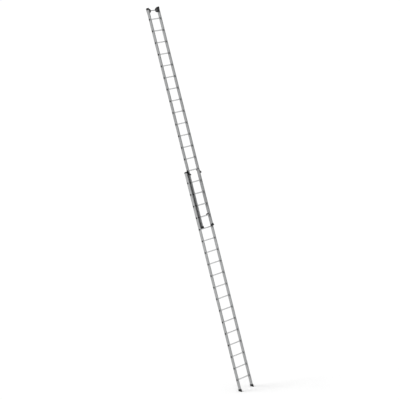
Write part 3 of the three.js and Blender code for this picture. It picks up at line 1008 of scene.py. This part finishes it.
@dataclass
class FlyShoe:
    """Shoe of a fly stile with a pointed heel in front, ribbed sides and a grooved underside."""

    side: Side
    back_rise: float = 30 * MM
    heel_rise: float = 6 * MM
    wall: float = 3.5 * MM
    edge: float = 2.2 * MM
    tread: float = 3.5 * MM
    bars: int = 7
    rib_drops: tuple[float, ...] = (6 * MM, 12 * MM, 18 * MM)
    rivet: float = 4 * MM
    rivet_rise: float = 1.3 * MM

    def build(self, maker: Maker) -> None:
        """Makes the shoe: body, side ribs, tread bars and a rivet."""
        node = f"fly_shoe_{self.side.word}"
        box = LEAN.box(node)
        stile = LEAN.box(f"fly_stile_{self.side.word}")
        under, top, heel, back = box.low[2], box.high[2], box.low[1], box.high[1]
        front = stile.low[1] - self.wall
        body = softened([
            [back, under + self.tread], [back, under + self.back_rise], [front, top],
            [heel, under + self.heel_rise], [stile.low[1], under + self.tread],
        ], [3 * MM, 4 * MM, 4 * MM, 2 * MM, 4 * MM])
        slant = (top - under - self.back_rise) / (back - front)
        x_low, x_high = box.low[0] + 0.8 * MM, box.high[0] - 0.8 * MM

        def rib(drop: float) -> np.ndarray:
            """A thin rib that runs along the sleeve's slanting rim, lower by the drop."""
            y_back, y_front = back - 5 * MM, front + 5 * MM
            z_back = under + self.back_rise - drop
            z_front = z_back + slant * (y_back - y_front)
            return softened([[y_back, z_back - 2 * MM], [y_back, z_back],
                             [y_front, z_front], [y_front, z_front - 2 * MM]], 0.8 * MM)

        pitch = (back - stile.low[1]) / self.bars
        feet = [softened([[y + 0.7 * pitch, under], [y + 0.7 * pitch, under + 2 * self.tread],
                          [y, under + 2 * self.tread], [y, under]], 0.8 * MM)
                for y in stile.low[1] + pitch * (np.arange(self.bars) + 0.15)]
        rise = self.side.value * self.rivet_rise
        maker.piece(f"{node}_moulding", joined([
            moulding(body, x_low, x_high, self.edge),
            *(moulding(rib(drop), box.low[0], box.high[0], 0.5 * MM) for drop in self.rib_drops),
            *(moulding(foot, x_low + 0.4 * MM, x_high - 0.4 * MM, 0.7 * MM, 1) for foot in feet),
            dome(box.middle[0] - self.side.value * box.half[0] + rise, -rise,
                 (stile.middle[1] - 18 * MM, stile.low[2] + 8 * MM), self.rivet, 2),
        ]), "fly", "fitting", [BLACK_PLASTIC, SOLE_RUBBER, ZINC_PLATE], [node])


@dataclass
class TopCap:
    """Rounded end cap of a fly stile, with a parting rib and a small rivet in each side."""

    side: Side
    round: float = 15 * MM
    edge: float = 3.5 * MM
    skirt_rim: float = 4 * MM
    skirt_step: float = 1 * MM
    rivet: float = 3.5 * MM
    rivet_rise: float = 0.8 * MM

    def build(self, maker: Maker) -> None:
        """Makes the cap."""
        node = f"fly_top_cap_{self.side.word}"
        box = LEAN.box(node)
        under, top, front, back = box.low[2], box.high[2], box.low[1], box.high[1]
        inner_front, inner_back = front + self.skirt_step, back - self.skirt_step
        crown = softened([[inner_back, under], [inner_back, top], [inner_front, top], [inner_front, under]],
                         [0.5 * MM, self.round, self.round, 0.5 * MM], 10)
        rim = softened([[back, under], [back, under + self.skirt_rim],
                        [front, under + self.skirt_rim], [front, under]], 1 * MM)
        half = box.half[0] - self.rivet_rise
        rivets = [dome(box.middle[0] + sign * half, sign * self.rivet_rise,
                       (box.middle[1], under + 12 * MM), self.rivet, 1) for sign in (-1, 1)]
        maker.piece(f"{node}_moulding", joined([
            moulding(crown, box.low[0] + self.rivet_rise, box.high[0] - self.rivet_rise, self.edge),
            moulding(rim, box.low[0], box.high[0], 0.8 * MM),
            *rivets,
        ]), "fly", "fitting", [BLACK_PLASTIC, ZINC_PLATE], [node])


@dataclass
class TopGuide:
    """Guide moulding of a base stile top: a cap, an arm beside the fly stile and a lug in front of it."""

    side: Side
    skirt: float = 9 * MM
    cap_back: float = 12 * MM
    peak_width: float = 12 * MM
    peak_ahead: float = 6 * MM
    clearance: float = 3 * MM
    plate: float = 9 * MM
    arm_width: float = 12 * MM
    lug_height: float = 38 * MM
    root: float = 2 * MM
    edge: float = 2 * MM
    nose: float = 2.5 * MM
    pad_inset: float = 5 * MM
    screw: float = 3.8 * MM
    screw_rise: float = 1.4 * MM
    screw_spread: float = 20 * MM

    def build(self, maker: Maker) -> None:
        """Makes the cap, the arm, the lug with its nose and the screw heads."""
        node = f"base_top_guide_{self.side.word}"
        box = LEAN.box(node)
        stile = LEAN.box(f"base_stile_{self.side.word}")
        fly = LEAN.box(f"fly_stile_{self.side.word}")
        sign = self.side.value
        cut, peak, back, lug_front = stile.high[2], box.high[2], box.high[1], box.low[1]
        cap_front = 2 * stile.middle[1] - back
        peak_middle = fly.middle[1] - self.peak_ahead
        peak_back, peak_front = peak_middle + self.peak_width / 2, peak_middle - self.peak_width / 2
        lug_back = fly.low[1] - self.clearance
        lug_under = box.low[2]
        lug_top = lug_under + self.lug_height
        under = cut - self.skirt

        def top_at(y: float) -> float:
            """Height of the straight upper edge between the cap's back and the peak."""
            share = (back - y) / (back - peak_back)
            return cut + self.cap_back + (peak - cut - self.cap_back) * share

        cap = softened([[back, under], [back, top_at(back)],
                        [cap_front, top_at(cap_front)], [cap_front, under]],
                       [1.5 * MM, 4 * MM, 1 * MM, 1.5 * MM])
        arm = softened([
            [stile.middle[1], under], [stile.middle[1], top_at(stile.middle[1])],
            [peak_back, peak], [peak_front, peak],
            [lug_back - self.root, lug_top], [lug_back - self.root, lug_under], [lug_back, lug_under],
            [lug_back + self.arm_width, lug_top], [peak_back, cut], [cap_front, under],
        ], [1 * MM, 1 * MM, 5 * MM, 5 * MM, 1 * MM, 0.8 * MM, 0.8 * MM, 6 * MM, 8 * MM, 4 * MM])
        lug_face = lug_front + self.nose
        lug = softened([[lug_back, lug_under], [lug_back, lug_top],
                        [lug_face, lug_top], [lug_face, lug_under]],
                       [0.6 * MM, 0.6 * MM, 5 * MM, 5 * MM])
        pad = softened([[lug_back - 1 * MM, lug_under + 8 * MM], [lug_back - 1 * MM, lug_top - 8 * MM],
                        [lug_front, lug_top - 10 * MM], [lug_front, lug_under + 10 * MM]],
                       [1 * MM, 1 * MM, 4 * MM, 4 * MM])
        web = fly.high[0] if sign > 0 else fly.low[0]
        arm_inner = web + sign * self.clearance
        arm_outer = arm_inner + sign * self.plate
        outer = box.high[0] if sign > 0 else box.low[0]
        inner = box.low[0] if sign > 0 else box.high[0]
        rise = sign * self.screw_rise
        screws = [dome(outer - rise, rise, (stile.middle[1] + spread, cut - 4 * MM), self.screw, 1)
                  for spread in (-self.screw_spread, self.screw_spread)]
        maker.piece(f"{node}_moulding", joined([
            moulding(cap, arm_inner, outer - sign * 0.9 * MM, self.edge),
            moulding(arm, arm_inner, arm_outer, 1.4 * MM),
            moulding(lug, inner, arm_outer, self.edge),
            moulding(pad, inner + sign * self.pad_inset, arm_outer - sign * self.pad_inset, 1.5 * MM),
            *screws,
        ]), "base", "fitting", [BLACK_PLASTIC, ZINC_PLATE], [node])


@dataclass
class Runner:
    """Runner block on a fly stile's outer web, rounded at its ends and held by two rivets."""

    side: Side
    corner: float = 3 * MM
    edge: float = 2 * MM
    rivet: float = 3 * MM
    rivet_rise: float = 0.9 * MM
    rivet_inset: float = 14 * MM

    def build(self, maker: Maker) -> None:
        """Makes the block."""
        node = f"fly_runner_{self.side.word}"
        box = LEAN.box(node)
        outline = softened([[box.high[1], box.low[2]], [box.high[1], box.high[2]],
                            [box.low[1], box.high[2]], [box.low[1], box.low[2]]], self.corner)
        sign = self.side.value
        outer = box.high[0] if sign > 0 else box.low[0]
        inner = box.low[0] if sign > 0 else box.high[0]
        rise = sign * self.rivet_rise
        heads = [dome(outer - rise, rise, (box.middle[1], z), self.rivet, 1)
                 for z in (box.low[2] + self.rivet_inset, box.high[2] - self.rivet_inset)]
        maker.piece(f"{node}_block", joined([
            moulding(outline, inner, outer - rise, self.edge), *heads,
        ]), "fly", "fitting", [GREY_PLASTIC, ZINC_PLATE], [node])


# ---- Rollers, axle, hooks and pins ------------------------------------------------------------


@dataclass
class WallRoller:
    """A wall roller: grooved rubber tyre on a ribbed hub."""

    side: Side
    tread_inset: float = 0.1 * MM
    shoulder: float = 6 * MM
    groove_pitch: float = 8 * MM
    groove_depth: float = 1.8 * MM
    side_hollow: float = 1.6 * MM
    hub_radius: float = 31 * MM
    rim_wall: float = 4 * MM
    boss_radius: float = 14 * MM
    bore: float = 8.5 * MM
    web_half: float = 4 * MM
    ribs: int = 6
    rib_half: float = 1.6 * MM
    rib_reach: float = 7 * MM
    steps: int = 84
    hub_steps: int = 60

    def tyre_profile(self, radius: float, half: float, middle: float) -> np.ndarray:
        """The tyre's closed profile as (radius, x).

        The tread dips by groove_depth times a cosine to the eighth power, the shoulders are quarter circles,
        and the side walls are hollowed by side_hollow times the square of a half sine.

        Args:
            radius: the tyre's outer radius.
            half: half its width.
            middle: x of its middle.

        Returns:
            The closed profile.
        """
        flat = half - self.shoulder
        x = np.linspace(-flat, flat, 61)
        tread = radius - self.groove_depth * np.cos(math.pi * x / self.groove_pitch) ** 8
        angle = np.linspace(0, math.pi / 2, 8)[1:]
        shoulder_x = flat + self.shoulder * np.sin(angle)
        shoulder_r = radius - self.shoulder * (1 - np.cos(angle))
        side_r = np.linspace(shoulder_r[-1], self.hub_radius + 1 * MM, 14)[1:]
        along = (side_r - side_r[-1]) / (shoulder_r[-1] - side_r[-1])
        side_x = half - self.side_hollow * np.sin(math.pi * along) ** 2
        right = np.stack([np.concatenate([shoulder_r, side_r]), np.concatenate([shoulder_x, side_x])], 1)
        bead = np.array([[self.hub_radius, half - 1.5 * MM]])
        right = np.concatenate([right, bead])
        left = right[::-1] * [1, -1]
        profile = np.concatenate([left, np.stack([tread, x], 1), right])
        return profile + [0, middle]

    def build(self, maker: Maker) -> None:
        """Makes the tyre and the hub."""
        word = self.side.word
        tyre_box, hub_box = LEAN.box(f"wall_roller_{word}"), LEAN.box(f"roller_hub_{word}")
        middle = tyre_box.middle
        body = f"roller_{word}"
        profile = self.tyre_profile(tyre_box.half[2] - self.tread_inset, tyre_box.half[0], middle[0])
        tyre = turned(profile, middle[1:], self.steps, True)
        maker.piece(f"wall_roller_{word}_tyre", tyre, body, "tyre", [TYRE_RUBBER], [f"wall_roller_{word}"])

        half = hub_box.half[0]
        rim_inner = self.hub_radius - self.rim_wall
        right = np.array([
            [self.hub_radius, 0], [self.hub_radius, half - 1 * MM], [self.hub_radius - 1 * MM, half],
            [rim_inner + 1 * MM, half], [rim_inner, half - 1 * MM], [rim_inner, self.web_half + 2 * MM],
            [rim_inner - 2 * MM, self.web_half], [self.boss_radius + 2 * MM, self.web_half],
            [self.boss_radius, self.web_half + 2 * MM], [self.boss_radius, half - 1.5 * MM],
            [self.boss_radius - 1 * MM, half - 0.5 * MM], [self.bore + 1 * MM, half - 0.5 * MM],
            [self.bore, half - 1.5 * MM], [self.bore, 0],
        ])
        left = right[1:-1][::-1] * [1, -1]
        hub_profile = np.concatenate([right, left]) + [0, middle[0]]
        reach = (rim_inner + self.boss_radius) / 2
        near, far = reach - self.rib_reach, reach + self.rib_reach
        rib = softened([[far, -self.rib_half], [far, self.rib_half],
                        [near, self.rib_half], [near, -self.rib_half]], 0.5 * MM, 4)
        ribs = []
        for angle in 2 * math.pi * np.arange(self.ribs) / self.ribs:
            c, s = math.cos(angle), math.sin(angle)
            spoke = rib @ np.array([[c, s], [-s, c]]) + middle[1:]
            ribs.append(moulding(spoke, middle[0] - half + 3 * MM, middle[0] + half - 3 * MM, 0.8 * MM))
        hub = joined([turned(hub_profile, middle[1:], self.hub_steps, True), *ribs])
        maker.piece(f"roller_hub_{word}_wheel", hub, body, "hub", [HUB_PLASTIC], [f"roller_hub_{word}"])


@dataclass
class RollerAxle:
    """Tubular axle with stepped journals and a washer beside each roller."""

    journal: float = 8 * MM
    bore: float = 6 * MM
    chamfer: float = 0.8 * MM
    washer_radius: float = 15 * MM
    washer_edge: float = 0.4 * MM
    steps: int = 48

    def build(self, maker: Maker) -> None:
        """Makes the axle and its washers."""
        box = LEAN.box("roller_axle")
        middle = box.middle[1:]
        end = box.half[0]
        radius = box.half[2]
        step = LEAN.box("roller_hub_right").low[0] - 0.5 * MM
        right = np.array([
            [radius, 0], [radius, step - self.chamfer], [radius - self.chamfer, step], [self.journal, step],
            [self.journal, end - self.chamfer], [self.journal - self.chamfer, end], [self.bore, end],
        ])
        profile = np.concatenate([right, right[1:][::-1] * [1, -1]])
        tyre = LEAN.box("wall_roller_right")
        web = LEAN.box("fly_stile_right").low[0]
        washers = []
        for side in Side:
            ends = side.value * np.array([tyre.high[0] + 0.4 * MM, web + 0.9 * MM])
            ring = np.array([[self.journal, ends[0]], [self.washer_radius - self.washer_edge, ends[0]],
                             [self.washer_radius, ends[0] + side.value * self.washer_edge],
                             [self.washer_radius, ends[1]], [self.journal, ends[1]]])
            washers.append(turned(ring, middle, self.steps, True, 1))
        axle = joined([turned(profile, middle, self.steps, True), *washers])
        maker.piece("roller_axle_tube", axle, "fly", "axle", [AXLE_METAL, ZINC_PLATE], ["roller_axle"])


@dataclass
class RungHook:
    """A swinging hook of thick plate and the headed pin that it swings on."""

    side: Side
    edge: float = 1.1 * MM
    shank: float = 4.5 * MM
    crown: float = 2.4 * MM
    head_depth: float = 3 * MM
    tail_chamfer: float = 0.6 * MM

    def build(self, maker: Maker) -> None:
        """Makes the hook's plate and its pin."""
        word = self.side.word
        maker.rounded_node(f"rung_hook_{word}", f"hook_{word}", HOOK_PAINT, self.edge)
        node = f"hook_pin_{word}"
        box = LEAN.box(node)
        sign = self.side.value
        head_end, tail = (box.low[0], box.high[0]) if sign > 0 else (box.high[0], box.low[0])
        head_root = head_end + sign * self.head_depth
        head = box.half[2]
        angle = np.linspace(math.radians(75), 0, 7)
        arc = np.stack([head * np.cos(angle), head_root - sign * self.crown * np.sin(angle)], 1)
        rest = np.array([[head, head_root], [self.shank, head_root],
                         [self.shank, tail - sign * self.tail_chamfer],
                         [self.shank - self.tail_chamfer, tail]])
        pin = turned(np.concatenate([arc, rest]), box.middle[1:], 36, False)
        maker.piece(f"{node}_steel", pin, "fly", "pin", [ZINC_PLATE], [node])


# ---- Studio -----------------------------------------------------------------------------------


@dataclass
class Studio:
    """Pale floor, soft light and the camera."""

    azimuth: float = math.radians(-51.6119)
    elevation: float = math.radians(13.116)
    distance: float = 40.3215
    lens: float = 154.318
    sensor: float = 36.0
    target_up: float = 4.3082
    target_aside: float = 0.0348
    target_ahead: float = 0.007
    floor_half: float = 260.0
    sky: float = 0.86
    key: float = 2.2
    key_from: tuple[float, float, float] = (-0.62, 0.66, 0.28)
    key_spread: float = math.radians(40)

    def build(self, maker: Maker) -> None:
        """Makes the floor, the lights and the camera."""
        self.floor(maker)
        self.light()
        self.camera()

    def floor(self, maker: Maker) -> None:
        """A flat sheet under the soles."""
        reach = self.floor_half
        corners = [(-reach, -reach, 0), (reach, -reach, 0), (reach, reach, 0), (-reach, reach, 0)]
        mesh = bpy.data.meshes.new("studio_floor")
        mesh.from_pydata(corners, [], [(0, 1, 2, 3)])
        floor = bpy.data.objects.new("studio_floor", mesh)
        bpy.context.scene.collection.objects.link(floor)
        maker.dress(floor, [FLOOR_PAPER])

    def light(self) -> None:
        """An even white surround and one wide soft key light from the wall side."""
        scene = bpy.context.scene
        scene.view_settings.view_transform = "Standard"
        world = bpy.data.worlds.new("studio")
        world.use_nodes = True
        background = world.node_tree.nodes["Background"]
        background.inputs["Color"].default_value = (1, 1, 1, 1)
        background.inputs["Strength"].default_value = self.sky
        scene.world = world
        lamp = bpy.data.lights.new("key", "SUN")
        lamp.energy = self.key
        lamp.angle = self.key_spread
        key = bpy.data.objects.new("key", lamp)
        key.rotation_euler = Vector(self.key_from).to_track_quat("Z", "Y").to_euler()
        scene.collection.objects.link(key)

    def camera(self) -> None:
        """A long lens aimed at a point up the ladder from the bottom rung."""
        low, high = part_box("base_rung_01")
        up = Vector((0, math.sin(LEAN.angle), math.cos(LEAN.angle)))
        ahead = Vector((0, -math.cos(LEAN.angle), math.sin(LEAN.angle)))
        target = (low + high) / 2 + up * self.target_up + ahead * self.target_ahead
        target += Vector((self.target_aside, 0, 0))
        level = math.cos(self.elevation)
        back = Vector((math.sin(self.azimuth) * level, -math.cos(self.azimuth) * level,
                       math.sin(self.elevation)))
        lens = bpy.data.cameras.new("camera")
        lens.lens = self.lens
        lens.sensor_width = self.sensor
        lens.clip_end = 1000
        camera = bpy.data.objects.new("camera", lens)
        camera.location = target + back * self.distance
        camera.rotation_euler = back.to_track_quat("Z", "Y").to_euler()
        bpy.context.scene.collection.objects.link(camera)
        bpy.context.scene.camera = camera


def main() -> None:
    """Builds the studio and then the ladder, sub-assembly by sub-assembly."""
    logging.basicConfig(level=logging.INFO, format="%(message)s")
    maker = Maker()
    Studio().build(maker)
    for section in Section:
        for side in Side:
            Stile(section, side).build(maker)
        Rungs(section).build(maker)
    for side in Side:
        for part in (BaseShoe, TopGuide, FlyShoe, TopCap, Runner, WallRoller, RungHook):
            part(side).build(maker)
    RollerAxle().build(maker)
    log.info("%d pieces made", maker.count)


if __name__ == "__main__":
    main()
